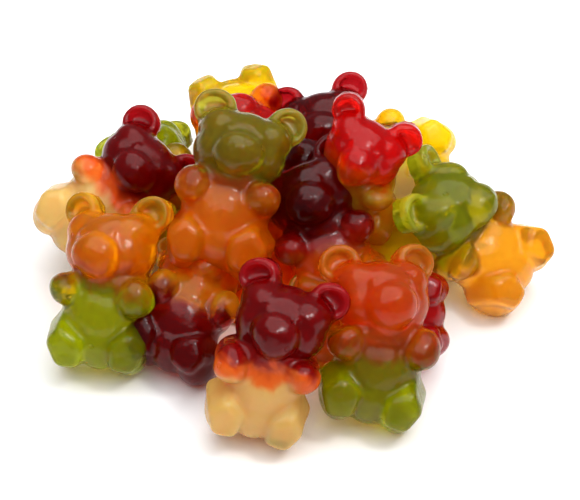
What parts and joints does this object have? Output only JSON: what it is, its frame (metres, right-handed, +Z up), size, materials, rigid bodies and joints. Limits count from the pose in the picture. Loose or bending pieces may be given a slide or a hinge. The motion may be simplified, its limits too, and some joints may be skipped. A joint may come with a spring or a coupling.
{
  "type": "heap of gummy bears",
  "caption": "Loose heap of soft two-colour gummy sweets shaped like small sitting bears, lying as tipped out on a table.",
  "frame": {"origin": "centre of the heap's footprint, on the surface it lies on", "axes": "+Z up, -Y towards the front of the heap, where most of the bears face"},
  "size_m": [0.0823, 0.0767, 0.0334],
  "materials": {
    "gum": "glossy translucent fruit jelly in red, orange, green, yellow and cream"
  },
  "bodies": {
    "root": {"gummy_bear_heap": "gum"}
  },
  "joints": []
}
